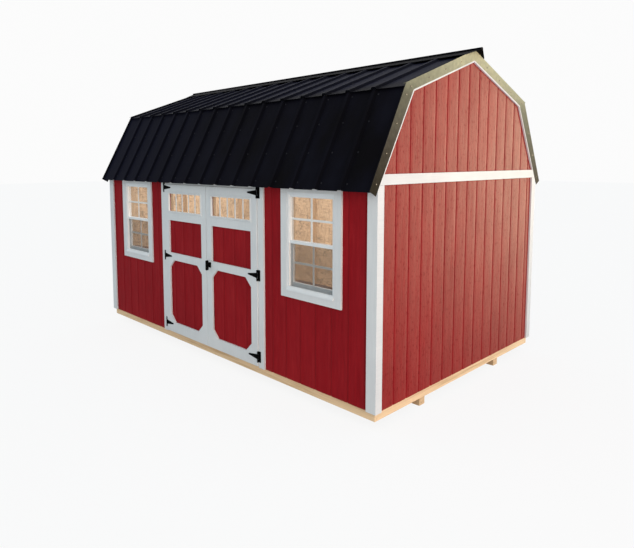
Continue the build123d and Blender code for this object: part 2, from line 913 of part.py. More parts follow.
with BuildPart() as right_door_straps:
    mirror(left_door_straps.part, about=Plane.YZ)
right_door_straps.part.label = "right_door_straps"
export_step(right_door_straps.part, "parts/right_door_straps.step")

with BuildPart() as hinge_plates:
    for z in hinge_places:
        for side in (-1, 1):
            edge = side * door_half
            far = side * (door_half + hinge_plate_width)
            near = side * (door_half + barrel / 2)
            plate_x = sorted((edge, far))
            web_x = sorted((edge, near))
            board(*plate_x, -trim_face - hinge_plate, -trim_face, z - hinge_tall / 2, z + hinge_tall / 2)
            for up in (-1, 1):
                middle = z + up * (hinge_tall - fixed_knuckle) / 2
                board(*web_x, pin_y, -trim_face, middle - fixed_knuckle / 2, middle + fixed_knuckle / 2)
                with Locations((edge, pin_y, middle)):
                    Cylinder(barrel / 2, fixed_knuckle)
            with Locations((edge, pin_y, z)):
                Cylinder(pin / 2, hinge_tall)
hinge_plates.part.label = "hinge_plates"
export_step(hinge_plates.part, "parts/hinge_plates.step")

latch_x = leaf_in + stile / 2 + latch_shift
latch_z = rail_middle

with BuildPart() as door_latch:
    with BuildSketch(Plane.XZ.offset(-leaf_face)):
        with Locations((latch_x, latch_z)):
            RectangleRounded(latch_width, latch_tall, latch_width / 4)
    extrude(amount=latch_plate)
    with BuildSketch(Plane.XZ.offset(-leaf_face)):
        with Locations((latch_x, latch_z)):
            Circle(latch_post / 2)
    extrude(amount=latch_stand)
    with BuildSketch(Plane.XZ.offset(latch_stand - leaf_face)):
        with Locations((latch_x, latch_z)):
            SlotOverall(latch_grip, latch_grip_size, rotation=90)
    extrude(amount=latch_grip_size)
door_latch.part.label = "door_latch"
export_step(door_latch.part, "parts/door_latch.step")
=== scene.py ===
# %% [markdown]
# # A portable gambrel barn
# This lesson dresses a barn that already exists as solids: skids, floor frame, stud walls, siding,
# gambrel roof, windows and two hinged door leaves. The solids come in as a fixed frame, in metres,
# with the ground at Z = 0, the doors facing -Y and the ridge along X. Blender adds what solids leave
# out: paint and grain, window bars, screws, glass, a studio floor, light and a camera.

# %% Load the barn
import math
import bmesh
import bpy
from mathutils import Matrix, Vector


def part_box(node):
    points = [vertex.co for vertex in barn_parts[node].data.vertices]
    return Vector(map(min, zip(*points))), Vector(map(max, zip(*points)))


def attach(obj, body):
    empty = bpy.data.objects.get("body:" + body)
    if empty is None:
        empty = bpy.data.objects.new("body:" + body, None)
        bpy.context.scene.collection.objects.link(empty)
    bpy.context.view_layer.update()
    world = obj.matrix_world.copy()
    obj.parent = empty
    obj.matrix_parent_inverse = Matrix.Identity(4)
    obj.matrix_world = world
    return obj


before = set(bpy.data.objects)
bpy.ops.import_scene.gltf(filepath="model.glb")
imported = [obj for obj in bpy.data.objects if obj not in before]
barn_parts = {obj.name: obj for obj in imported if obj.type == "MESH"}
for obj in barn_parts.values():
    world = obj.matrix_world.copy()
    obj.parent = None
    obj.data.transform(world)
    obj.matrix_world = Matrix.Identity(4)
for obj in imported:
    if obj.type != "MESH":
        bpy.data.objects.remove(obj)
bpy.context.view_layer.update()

# %% [markdown]
# ## How a finish is built
# Every finish here is a small node tree: one shader, noise that is stretched along the grain, a colour
# ramp and a bump. The noise is read in object coordinates, which are metres here, so grain and
# streaks keep their true scale, and they travel with a door leaf when it swings.
# A few helpers are enough: start a finish, lay noise, colour it, raise it, and do sums with places
# and with the way a face looks.

# %% Finish helpers
def start_finish(name, rough, shine, metal=0.0):
    material = bpy.data.materials.new(name)
    material.use_nodes = True
    shader = material.node_tree.nodes["Principled BSDF"]
    shader.inputs["Roughness"].default_value = rough
    shader.inputs["Specular IOR Level"].default_value = shine
    shader.inputs["Metallic"].default_value = metal
    return material, shader


def add_node(material, kind, **settings):
    node = material.node_tree.nodes.new(kind)
    for key, value in settings.items():
        setattr(node, key, value)
    return node


def join(material, out_socket, in_socket):
    material.node_tree.links.new(out_socket, in_socket)


def lay_noise(material, stretch, detail=4.0, rough=0.55):
    """Noise with so many waves per metre along X, Y and Z."""
    where = add_node(material, "ShaderNodeTexCoord")
    mapping = add_node(material, "ShaderNodeMapping")
    mapping.inputs["Scale"].default_value = stretch
    noise = add_node(material, "ShaderNodeTexNoise")
    noise.inputs["Scale"].default_value = 1.0
    noise.inputs["Detail"].default_value = detail
    noise.inputs["Roughness"].default_value = rough
    join(material, where.outputs["Object"], mapping.inputs["Vector"])
    join(material, mapping.outputs["Vector"], noise.inputs["Vector"])
    return noise.outputs["Fac"]


def grain_waves(grain, lengthwise, crosswise):
    """Waves per metre for a grain along X, Y or Z."""
    return tuple(lengthwise if axis == grain else crosswise for axis in "XYZ")


def colour_ramp(material, value, stops):
    ramp = add_node(material, "ShaderNodeValToRGB")
    while len(ramp.color_ramp.elements) < len(stops):
        ramp.color_ramp.elements.new(0.5)
    for element, (at, colour) in zip(ramp.color_ramp.elements, stops):
        element.position = at
        element.color = (*colour, 1.0)
    join(material, value, ramp.inputs["Fac"])
    return ramp.outputs["Color"]


def raise_bump(material, shader, height, depth, strength=1.0):
    bump = add_node(material, "ShaderNodeBump")
    bump.inputs["Strength"].default_value = strength
    bump.inputs["Distance"].default_value = depth
    join(material, height, bump.inputs["Height"])
    join(material, bump.outputs["Normal"], shader.inputs["Normal"])


def shade(colour, amount):
    return tuple(c * amount for c in colour)


def math_node(material, operation, first, second=None, third=None, clamp=False):
    node = add_node(material, "ShaderNodeMath", operation=operation, use_clamp=clamp)
    for socket, value in zip(node.inputs, (first, second, third)):
        if value is None:
            continue
        if isinstance(value, (int, float)):
            socket.default_value = value
        else:
            join(material, value, socket)
    return node.outputs["Value"]


def mix_colours(material, amount, first, second, blend="MIX"):
    mix = add_node(material, "ShaderNodeMix", data_type="RGBA", blend_type=blend)
    for name, value in (("Factor", amount), ("A", first), ("B", second)):
        kind = "VALUE" if name == "Factor" else "RGBA"
        socket = next(s for s in mix.inputs if s.name == name and s.type == kind)
        if isinstance(value, (int, float)):
            socket.default_value = value
        elif isinstance(value, tuple):
            socket.default_value = (*value, 1.0)
        else:
            join(material, value, socket)
    return next(s for s in mix.outputs if s.type == "RGBA")


def along(material, axis, kind="Object"):
    """The object coordinate along one axis, in metres."""
    where = add_node(material, "ShaderNodeTexCoord")
    split = add_node(material, "ShaderNodeSeparateXYZ")
    join(material, where.outputs[kind], split.inputs["Vector"])
    return split.outputs[axis]


def facing(material, axis):
    """How far a face looks along one axis, from -1 to 1."""
    return along(material, axis, "Normal")


def faces_right(material):
    """1 on faces that look to the right, along X, else 0."""
    return math_node(material, "GREATER_THAN", facing(material, "X"), 0.5)


print("finish helpers ready")

# %% [markdown]
# ## Bare wood
# The skids, joists, studs and rafters are sawn softwood, and the roof deck is plywood. The floor is
# strand board: flakes of many tones, pressed flat and lying both ways.
# Sawn wood shows long fibres and a slower drift between pale and dark growth rings. Two noises do
# it: a fine one stretched along the board and a wide one for the rings. Each run of boards needs
# its own stretch, because the grain follows the board.

# %% Bare wood finishes
def bare_wood(name, colour, grain, rough=0.75):
    """Sawn softwood, its grain along X, Y or Z."""
    material, shader = start_finish(name, rough, 0.2)
    fibres = lay_noise(material, grain_waves(grain, 4.0, 260.0), 5.0)
    rings = lay_noise(material, grain_waves(grain, 1.1, 26.0), 3.0)
    fine_part = math_node(material, "MULTIPLY", fibres, 0.35)
    tone = math_node(material, "MULTIPLY_ADD", rings, 0.65, fine_part)
    pale, dark = shade(colour, 1.12), (colour[0] * 0.7, colour[1] * 0.62, colour[2] * 0.52)
    stops = [(0.33, dark), (0.5, colour), (0.68, pale)]
    join(material, colour_ramp(material, tone, stops), shader.inputs["Base Color"])
    raise_bump(material, shader, tone, 0.0012)
    return material


def lay_flakes(material, stretch):
    """One random tone per flake of pressed wood."""
    where = add_node(material, "ShaderNodeTexCoord")
    mapping = add_node(material, "ShaderNodeMapping")
    mapping.inputs["Scale"].default_value = stretch
    flakes = add_node(material, "ShaderNodeTexVoronoi")
    flakes.inputs["Scale"].default_value = 1.0
    split = add_node(material, "ShaderNodeSeparateColor")
    join(material, where.outputs["Object"], mapping.inputs["Vector"])
    join(material, mapping.outputs["Vector"], flakes.inputs["Vector"])
    join(material, flakes.outputs["Color"], split.inputs["Color"])
    return split.outputs["Red"]


def flake_tone(material):
    """Flakes laid both ways, as in strand board, from 0 to 1."""
    upright = lay_flakes(material, (48.0, 48.0, 11.0))
    level = lay_flakes(material, (13.0, 13.0, 52.0))
    which = lay_noise(material, (22.0, 22.0, 22.0), 1.0)
    pick = math_node(material, "GREATER_THAN", which, 0.5)
    rest = math_node(material, "SUBTRACT", 1.0, pick)
    level_part = math_node(material, "MULTIPLY", level, rest)
    return math_node(material, "MULTIPLY_ADD", upright, pick, level_part)


def flake_colours(material, colour):
    """Dark, middle and pale flakes of one sheet."""
    stops = [(0.0, shade(colour, 0.5)), (0.35, shade(colour, 0.92)), (1.0, shade(colour, 1.25))]
    return colour_ramp(material, flake_tone(material), stops)


def strand_board(name, colour):
    """Pressed flakes, each with a tone of its own."""
    material, shader = start_finish(name, 0.8, 0.1)
    join(material, flake_colours(material, colour), shader.inputs["Base Color"])
    raise_bump(material, shader, lay_noise(material, (60.0, 60.0, 60.0), 3.0), 0.001)
    return material


treated = (0.74, 0.52, 0.31)
pine = (0.64, 0.47, 0.31)
sheet_wood = (0.63, 0.465, 0.31)
painted_shade_wood = (0.20, 0.11, 0.07)
skid_wood = bare_wood("skid_wood", treated, "X", 0.85)
rim_wood = bare_wood("rim_wood", shade(treated, 1.23), "X")
joist_wood = bare_wood("joist_wood", shade(treated, 1.23), "Y")
plate_wood = bare_wood("plate_wood", pine, "X")
stud_wood = bare_wood("stud_wood", pine, "Z")
# Painted shade: the rough window sills get dark brown wood, standing in for the shade they sit in.
sill_wood = bare_wood("sill_wood", painted_shade_wood, "X")
rafter_wood = bare_wood("rafter_wood", pine, "Y")
floor_wood = strand_board("floor_wood", shade(sheet_wood, 0.66))
deck_wood = bare_wood("deck_wood", sheet_wood, "X")
print("bare wood:", len([m for m in bpy.data.materials if m.name.endswith("_wood")]), "finishes")

# %% [markdown]
# ## Red siding
# The siding is rough-sawn sheet with upright grooves, brushed with barn red. Its face has an upright
# texture from the saw, and the paint takes a little deeper in some streaks. The inside was
# never painted, so the same sheet shows bare flakes there. One node tree does both: the coordinate
# through the sheet says which face it is, and the colour switches just inside the back face.
# A weak sheen lies on the paint in worn upright streaks, stronger beside a groove and weaker past it.
# The gables are worn most: small dark specks break the paint, and their grooves show by sheen alone.
# On the front and back walls and the door leaves the red is painted darker across each groove, as
# painted shade.

# %% Red siding finish
barn_red, pale_red = (0.305, 0.0088, 0.0140), (0.37, 0.0135, 0.018)
groove_pitch = 0.2032
first_groove = {"X": groove_pitch / 2, "Y": -1.478}
groove_sheen = [(0.26, 1.0), (0.34, 1.25), (0.43, 1.3), (0.47, 1.5),
                (0.53, 1.35), (0.59, 0.6), (0.66, 0.75), (0.8, 1.0)]
paint_skin = 0.0006


def groove_place(material, axis):
    """Where a point lies between grooves: 0.5 in a groove, 0 or 1 half-way to the next."""
    way = math_node(material, "SUBTRACT", along(material, axis), first_groove[axis])
    turns = math_node(material, "DIVIDE", way, groove_pitch)
    return math_node(material, "FRACT", math_node(material, "ADD", turns, 0.5))


def groove_shade(material, place):
    """1 across a groove, falling to 0 where the flat board begins."""
    away = math_node(material, "ABSOLUTE", math_node(material, "SUBTRACT", place, 0.5))
    return math_node(material, "MULTIPLY_ADD", away, -28.0, 2.3, clamp=True)


def siding_paint(name, axis, back_face, room_side, painted_groove_shade=0.22, relief=0.003, knotty=0.0):
    """Red sheet with a bare back: room_side is +1 where the room lies at larger coordinates."""
    material, shader = start_finish(name, 0.68, 0.06)
    saw = lay_noise(material, (230.0, 230.0, 7.0), 6.0, 0.6)
    cedar = lay_noise(material, (46.0, 46.0, 4.2), 5.0, 0.6)
    clouds = lay_noise(material, (1.6, 1.6, 1.1), 3.0)
    fine = math_node(material, "MULTIPLY_ADD", cedar, 0.7, math_node(material, "MULTIPLY", saw, 0.3))
    tone = math_node(material, "MULTIPLY_ADD", clouds, 0.4, math_node(material, "MULTIPLY", fine, 0.6))
    red = colour_ramp(material, tone, [(0.34, shade(barn_red, 0.8)), (0.5, barn_red), (0.66, pale_red)])

    place = groove_place(material, "X" if axis == "Y" else "Y")
    knots = lay_noise(material, (40.0, 40.0, 22.0), 3.0, 0.6)
    specks = math_node(material, "MULTIPLY_ADD", knots, 9.0 * knotty, -4.95 * knotty, clamp=True)
    streaks = lay_noise(material, (17.0, 17.0, 1.9), 5.0, 0.65)
    worn = math_node(material, "MULTIPLY_ADD", streaks, 0.09, 0.017)
    worn = math_node(material, "MULTIPLY_ADD", specks, -0.034, worn)
    edge_sheen = colour_ramp(material, place, [(at, (value,) * 3) for at, value in groove_sheen])
    sheen = math_node(material, "MULTIPLY", worn, edge_sheen)
    join(material, sheen, shader.inputs["Specular IOR Level"])

    # Painted shade: the red is darkened across each groove, where shade would fall; the specks are real dark
    # marks.
    painted_groove_darkening = math_node(material, "MULTIPLY", groove_shade(material, place), painted_groove_shade)
    dark = math_node(material, "MAXIMUM", painted_groove_darkening, math_node(material, "MULTIPLY", specks, 0.4))
    red = mix_colours(material, dark, red, shade(barn_red, 0.5))
    compare = "GREATER_THAN" if room_side > 0 else "LESS_THAN"
    inside = math_node(material, compare, along(material, axis), back_face - room_side * paint_skin)
    coat = mix_colours(material, inside, red, flake_colours(material, sheet_wood))
    join(material, coat, shader.inputs["Base Color"])
    raise_bump(material, shader, fine, relief)
    return material


wall_y, gable_x, leaf_y = 1.524, 2.4385, 1.535
# The gables get no painted shade in their grooves.
worn_gable = {"painted_groove_shade": 0.0, "relief": 0.0045, "knotty": 1.0}
front_red = siding_paint("front_red", "Y", -wall_y, 1)
back_red = siding_paint("back_red", "Y", wall_y, -1)
left_red = siding_paint("left_red", "X", -gable_x, 1, **worn_gable)
right_red = siding_paint("right_red", "X", gable_x, -1, **worn_gable)
leaf_red = siding_paint("leaf_red", "Y", -leaf_y, 1)
print("red siding finishes: 5")

# %% [markdown]
# ## White boards and window vinyl
# Corner boards, belts, rakes, casings and the door frames are smooth boards under white paint, which
# is nearly even but never flat: the brush leaves faint ridges and the boards drift a little in tone.
# The window frames are extruded vinyl, smoother and a touch cooler, with a slight moulded grain.
# On both, the faces that look to the right are painted a little paler, as painted light from the right.

# %% White finishes
def white_paint(name, grain):
    material, shader = start_finish(name, 0.5, 0.015)
    brush = lay_noise(material, grain_waves(grain, 3.0, 120.0), 4.0)
    drift = lay_noise(material, (2.2, 2.2, 2.2), 3.0)
    tone = math_node(material, "MULTIPLY_ADD", drift, 0.6, math_node(material, "MULTIPLY", brush, 0.4))
    stops = [(0.3, (0.70, 0.71, 0.71)), (0.5, (0.77, 0.775, 0.77)), (0.7, (0.82, 0.82, 0.81))]
    # Painted light: faces that look to the right are painted 5% paler, as if lit from the right.
    right_side_light = mix_colours(material, faces_right(material), (1.0, 1.0, 1.0), (1.05, 1.05, 1.05))
    white = mix_colours(material, 1.0, colour_ramp(material, tone, stops), right_side_light, "MULTIPLY")
    join(material, white, shader.inputs["Base Color"])
    raise_bump(material, shader, brush, 0.0007)
    return material


upright_white = white_paint("upright_white", "Z")
level_white = white_paint("level_white", "Y")

moulded_grain = (420.0, 420.0, 420.0)
right_lit_vinyl = (0.95, 0.94, 0.92)
window_vinyl, shader = start_finish("window_vinyl", 0.32, 0.15)
vinyl_tone = lay_noise(window_vinyl, (5.0, 5.0, 5.0), 2.0)
vinyls = [(0.35, (0.80, 0.815, 0.82)), (0.65, (0.86, 0.87, 0.875))]
vinyl = colour_ramp(window_vinyl, vinyl_tone, vinyls)
# Painted light: vinyl faces that look to the right are painted paler, as if lit from the right.
vinyl = mix_colours(window_vinyl, faces_right(window_vinyl), vinyl, right_lit_vinyl)
join(window_vinyl, vinyl, shader.inputs["Base Color"])
raise_bump(window_vinyl, shader, lay_noise(window_vinyl, moulded_grain, 2.0), 0.0002)

# Painted light: the grid bars are painted paler than the frames, to make up for the shade they sit in behind
# glass and screen.
grid_vinyl, shader = start_finish("grid_vinyl", 0.3, 0.15)
grid_tone = lay_noise(grid_vinyl, (9.0, 9.0, 9.0), 2.0)
lit_grid_whites = [(0.35, (0.85, 0.83, 0.80)), (0.65, (0.91, 0.89, 0.86))]
join(grid_vinyl, colour_ramp(grid_vinyl, grid_tone, lit_grid_whites), shader.inputs["Base Color"])
raise_bump(grid_vinyl, shader, lay_noise(grid_vinyl, moulded_grain, 2.0), 0.0002)
print("white finishes: 4")

# %% [markdown]
# ## Roof metal, rake flashing and hardware
# The roof is black painted sheet. Painted steel is never perfectly flat, so a slow bump makes the
# pans wave a little, and dust lightens it in patches. A painted reflection of blue sky lies on the
# flat upper slopes and towards the left on the steep ones, and the ribs' right flanks carry painted
# shade. The cap has no painted sky. The khaki flashing along the rakes is painted darker towards the
# eaves and paler up high and towards the back, as painted light and shade, so its tone runs with
# height, and the sides that turn to the sheets are roof black. The strap hinges and the latch are
# black enamel with a worn, greyer bloom.

# %% Metal finishes
roof_black, shader = start_finish("roof_black", 0.5, 0.012)
shader.inputs["Specular Tint"].default_value = (0.72, 0.76, 1.0, 1.0)
dust = lay_noise(roof_black, (3.0, 3.0, 0.8), 5.0)
dents = lay_noise(roof_black, (2.4, 2.4, 2.4), 1.0)
blacks = [(0.35, (0.0040, 0.0036, 0.0044)), (0.55, (0.0054, 0.0051, 0.0084)),
          (0.75, (0.0078, 0.0080, 0.0130))]
# Painted reflection and shade: the two blue films stand in for reflected sky, and the near-black is painted
# shade on the ribs' right flanks.
upper_sky_reflection, left_sky_reflection, flank_painted_shade = (0.0098, 0.0106, 0.0235), (0.0078, 0.0085, 0.0185), (0.003, 0.003, 0.004)
sheet = colour_ramp(roof_black, dust, blacks)
flat = math_node(roof_black, "MULTIPLY_ADD", along(roof_black, "Z"), 12.0, -36.2, clamp=True)
sheet = mix_colours(roof_black, math_node(roof_black, "MULTIPLY", flat, 0.9), sheet, upper_sky_reflection)
leftward_sky_share = math_node(roof_black, "MULTIPLY_ADD", along(roof_black, "X"), -0.26, 0.18, clamp=True)
steep = math_node(roof_black, "SUBTRACT", 1.0, flat)
sheet = mix_colours(roof_black, math_node(roof_black, "MULTIPLY", leftward_sky_share, steep), sheet, left_sky_reflection)
# Painted shade: faces that look to +X, the ribs' right flanks, are painted darker.
flank_shade_mask = math_node(roof_black, "MULTIPLY_ADD", facing(roof_black, "X"), 4.0, -1.0, clamp=True)
sheet = mix_colours(roof_black, math_node(roof_black, "MULTIPLY", flank_shade_mask, 0.6), sheet, flank_painted_shade)
join(roof_black, sheet, shader.inputs["Base Color"])
raise_bump(roof_black, shader, dents, 0.006, 0.5)

cap_black, shader = start_finish("cap_black", 0.5, 0.01)
cap_dust = lay_noise(cap_black, (2.0, 9.0, 9.0), 4.0)
cap_blacks = [(0.4, (0.0026, 0.0026, 0.0036)), (0.7, (0.005, 0.0053, 0.0085))]
join(cap_black, colour_ramp(cap_black, cap_dust, cap_blacks), shader.inputs["Base Color"])
raise_bump(cap_black, shader, lay_noise(cap_black, (1.6, 3.0, 3.0), 1.0), 0.004, 0.5)

rake_khaki, shader = start_finish("rake_khaki", 0.6, 0.004)
# Painted light and shade: the tan is painted darker towards the eaves and paler above the break and towards
# the back; the mottle is the flashing's own uneven tone.
rise = math_node(rake_khaki, "MULTIPLY_ADD", along(rake_khaki, "Z"), 0.43, -0.886)
paler_back = math_node(rake_khaki, "MULTIPLY", along(rake_khaki, "Y"), 0.06)
above = math_node(rake_khaki, "MULTIPLY_ADD", along(rake_khaki, "Z"), 8.0, -23.4, clamp=True)
mottle = lay_noise(rake_khaki, (24.0, 24.0, 24.0), 4.0)
tone_and_painted_light = math_node(rake_khaki, "ADD", math_node(rake_khaki, "MULTIPLY_ADD", above, 0.12, rise),
                    math_node(rake_khaki, "MULTIPLY_ADD", mottle, 0.2, paler_back))
khaki = [(0.03, (0.024, 0.021, 0.0135)), (0.13, (0.045, 0.039, 0.028)), (0.23, (0.078, 0.069, 0.052)),
         (0.45, (0.175, 0.168, 0.115)), (0.57, (0.27, 0.262, 0.173)), (0.70, (0.42, 0.40, 0.262)),
         (0.83, (0.66, 0.615, 0.375))]
upward = math_node(rake_khaki, "GREATER_THAN", facing(rake_khaki, "Z"), 0.2)
inward = math_node(rake_khaki, "MULTIPLY", facing(rake_khaki, "X"), along(rake_khaki, "X"))
black_side = math_node(rake_khaki, "MAXIMUM", upward, math_node(rake_khaki, "LESS_THAN", inward, -1.0))
tan_face = colour_ramp(rake_khaki, tone_and_painted_light, khaki)
rake_coat = mix_colours(rake_khaki, black_side, tan_face, (0.008, 0.008, 0.011))
join(rake_khaki, rake_coat, shader.inputs["Base Color"])
raise_bump(rake_khaki, shader, mottle, 0.0008, 0.6)

black_enamel, shader = start_finish("black_enamel", 0.45, 0.003)
bloom = lay_noise(black_enamel, (60.0, 60.0, 60.0), 4.0)
enamels = [(0.4, (0.003, 0.003, 0.003)), (0.62, (0.006, 0.006, 0.006)), (0.8, (0.02, 0.0195, 0.0185))]
join(black_enamel, colour_ramp(black_enamel, bloom, enamels), shader.inputs["Base Color"])
raise_bump(black_enamel, shader, bloom, 0.0006)

screw_grey, shader = start_finish("screw_grey", 0.5, 0.05)
zinc = lay_noise(screw_grey, (150.0, 150.0, 150.0), 3.0)
greys = colour_ramp(screw_grey, zinc, [(0.35, (0.012, 0.012, 0.016)), (0.7, (0.034, 0.034, 0.04))])
join(screw_grey, greys, shader.inputs["Base Color"])

screw_brown, shader = start_finish("screw_brown", 0.45, 0.3)
tarnish = lay_noise(screw_brown, (180.0, 180.0, 180.0), 3.0)
browns = [(0.35, (0.05, 0.035, 0.02)), (0.7, (0.16, 0.125, 0.08))]
join(screw_brown, colour_ramp(screw_brown, tarnish, browns), shader.inputs["Base Color"])
print("metal finishes: 6")

# %% [markdown]
# ## Glass and insect screen
# The panes are clear float glass. Thin glass hardly bends light, so a see-through, glossy sheet is
# enough, and daylight still reaches the room through it. A slow bump lets its reflections wander.
# The lower half of each window carries a grey insect screen. Weaving real wires would take millions
# of faces, so its thin sheet is partly see-through, and a fine weave in the colour keeps it from
# being flat.

# %% Glass and screen finishes
clear_glass, shader = start_finish("clear_glass", 0.03, 0.8)
shader.inputs["Alpha"].default_value = 0.2
ripple = lay_noise(clear_glass, (3.0, 3.0, 3.0), 1.0)
tint = colour_ramp(clear_glass, ripple, [(0.3, (0.05, 0.065, 0.06)), (0.7, (0.09, 0.105, 0.10))])
join(clear_glass, tint, shader.inputs["Base Color"])
raise_bump(clear_glass, shader, ripple, 0.0008, 0.2)

insect_screen, shader = start_finish("insect_screen", 0.7, 0.2)
shader.inputs["Alpha"].default_value = 0.23
weave = lay_noise(insect_screen, (700.0, 700.0, 700.0), 1.0)
threads = colour_ramp(insect_screen, weave, [(0.4, (0.07, 0.07, 0.07)), (0.6, (0.14, 0.14, 0.135))])
join(insect_screen, threads, shader.inputs["Base Color"])
print("glass and screen finishes: 2")

# %% [markdown]
# ## Put the finishes on the solids
# A table of part names and finishes is easy to read and hard to get wrong. The loop
# stops with an error if a name in it doesn't exist, and prints the parts that no line covers.

# %% Dress the solids
wardrobe = {
    skid_wood: ("skids",),
    rim_wood: ("rim_joists",),
    joist_wood: ("floor_joists",),
    plate_wood: ("bottom_plates", "top_plates", "ridge_board", "opening_headers"),
    stud_wood: ("side_wall_studs", "gable_studs", "left_door_backing", "right_door_backing"),
    rafter_wood: ("lower_rafters", "upper_rafters"),
    floor_wood: ("floor_deck",),
    deck_wood: ("lower_roof_deck", "upper_roof_deck", "rafter_gussets"),
    front_red: ("front_siding_left", "front_siding_right", "front_siding_over_door"),
    back_red: ("back_siding",),
    left_red: ("left_gable_siding",),
    right_red: ("right_gable_siding",),
    leaf_red: ("left_door_panel", "right_door_panel"),
    upright_white: ("side_corner_boards", "door_casing", "window_casings", "left_door_boards",
                    "right_door_boards"),
    level_white: ("left_gable_trim", "right_gable_trim"),
    window_vinyl: ("window_frames",),
    roof_black: ("front_lower_roof", "front_upper_roof", "back_lower_roof", "back_upper_roof"),
    cap_black: ("ridge_cap",),
    rake_khaki: ("left_rake_flashing", "right_rake_flashing"),
    black_enamel: ("left_door_straps", "right_door_straps", "hinge_plates", "door_latch"),
    clear_glass: ("window_glass", "left_door_light", "right_door_light"),
    insect_screen: ("window_screens",),
}
dressed = set()
for finish, names in wardrobe.items():
    for name in names:
        mesh = barn_parts[name].data
        mesh.materials.clear()
        mesh.materials.append(finish)
        dressed.add(name)
print("dressed:", len(dressed), "bare:", sorted(set(barn_parts) - dressed))

# %% [markdown]
# ## Finding boards and panes inside a part
# Some parts hold several loose solids, such as the four panes of the two windows. To put bars on
# each pane, the script needs the corners of each solid. A scratch copy of the mesh is
# welded, then faces are gathered island by island, and each island gives a low and a high corner.

# %% Loose solids of a part
def loose_solids(name):
    scratch = bmesh.new()
    scratch.from_mesh(barn_parts[name].data)
    bmesh.ops.remove_doubles(scratch, verts=scratch.verts, dist=1e-5)
    found, seen = [], set()
    for start in scratch.verts:
        if start in seen:
            continue
        island, queue = [], [start]
        seen.add(start)
        while queue:
            vert = queue.pop()
            island.append(vert.co.copy())
            for edge in vert.link_edges:
                other = edge.other_vert(vert)
                if other not in seen:
                    seen.add(other)
                    queue.append(other)
        low = Vector(min(v[i] for v in island) for i in range(3))
        high = Vector(max(v[i] for v in island) for i in range(3))
        found.append((low, high))
    scratch.free()
    return sorted(found, key=lambda corners: tuple(round(v, 4) for v in corners[0]))


panes = loose_solids("window_glass")
print("window panes:", [[round(v, 3) for v in low] for low, high in panes])

# %% [markdown]
# ## Making a piece
# New pieces are meshes built in code. This helper turns a finished `bmesh` into an object, gives it
# a finish and lets it ride on a body. Rounded edges matter: a board edge with no radius catches no
# light, so bars are bevelled in the mesh.

# %% Piece helpers
def make_piece(name, shape, finish, body, smooth=False):
    bmesh.ops.recalc_face_normals(shape, faces=shape.faces)
    mesh = bpy.data.meshes.new(name)
    shape.to_mesh(mesh)
    shape.free()
    mesh.materials.append(finish)
    for face in mesh.polygons:
        face.use_smooth = smooth
    piece = bpy.data.objects.new(name, mesh)
    bpy.context.scene.collection.objects.link(piece)
    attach(piece, body)
    return piece


def add_bar(shape, low, high, radius=0.0015):
    """Square bar between two corners, its long edges eased."""
    low, high = Vector(low), Vector(high)
    made = bmesh.ops.create_cube(shape, size=1.0)
    size, middle = high - low, (low + high) / 2
    for vert in made["verts"]:
        vert.co = Vector(v * s for v, s in zip(vert.co, size)) + middle
    edges = {edge for vert in made["verts"] for edge in vert.link_edges}
    bmesh.ops.bevel(shape, geom=list(edges), offset=radius, segments=2, affect="EDGES", profile=0.5)


def count_faces(piece):
    return sum(len(face.vertices) - 2 for face in piece.data.polygons)


print("piece helpers ready")

# %% [markdown]
# ## Window grids
# Each sash is divided into four by flat bars, one upright and one level. The outer sash carries
# its bars on the weather face of the glass. On the real window they are snapped-in strips, so
# here they are thin eased bars that stand on the pane and reach from rail to rail.

# %% Window grids
bar_width, bar_proud, level_set_back = 0.021, 0.005, 0.0012
hair = 0.0002


def window_grid(name, panes_here):
    shape = bmesh.new()
    for low, high in panes_here:
        middle_x, middle_z = (low.x + high.x) / 2, (low.z + high.z) / 2
        front, back = low.y - bar_proud, low.y - hair
        half = bar_width / 2
        add_bar(shape, (middle_x - half, front, low.z), (middle_x + half, back, high.z))
        front += level_set_back
        add_bar(shape, (low.x, front, middle_z - half), (high.x, back, middle_z + half))
    return make_piece(name, shape, grid_vinyl, "barn")


left_grid = window_grid("left_window_grid", panes[:2])
right_grid = window_grid("right_window_grid", panes[2:])
print("window grids:", count_faces(left_grid) + count_faces(right_grid), "triangles")

# %% [markdown]
# ## Window sills and door stops
# Under each lower sash the vinyl frame ends in a sloped sill that sheds water over the casing. Its
# section is drawn once and pulled along X. Round the door opening runs a thin wooden stop behind the
# leaves, painted white, which closes the crack above them. Inside, a framing board lies flat under
# each window; its wood is painted dark brown as painted shade, and through the glass its top shows
# as a brown band.

# %% Sills and stops
def pull_along_x(shape, section, x0, x1):
    """Closed bar with a (y, z) section between two X positions."""
    ends = [[shape.verts.new((x, y, z)) for y, z in section] for x in (x0, x1)]
    count = len(section)
    for k in range(count):
        n = (k + 1) % count
        shape.faces.new((ends[0][k], ends[0][n], ends[1][n], ends[1][k]))
    shape.faces.new(list(reversed(ends[0])))
    shape.faces.new(ends[1])


shape = bmesh.new()
casing_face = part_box("window_casings")[0][1] - 0.0005
for low, high in loose_solids("window_frames"):
    front, foot = low.y - 0.0003, low.z - 0.0005
    nose, drip = casing_face - 0.013, low.z - 0.019
    section = [(front, low.z + 0.022), (nose, low.z - 0.007), (nose, drip), (casing_face, drip),
               (casing_face, foot), (front, foot)]
    pull_along_x(shape, section, low.x, high.x)
sills = make_piece("window_sills", shape, window_vinyl, "barn")

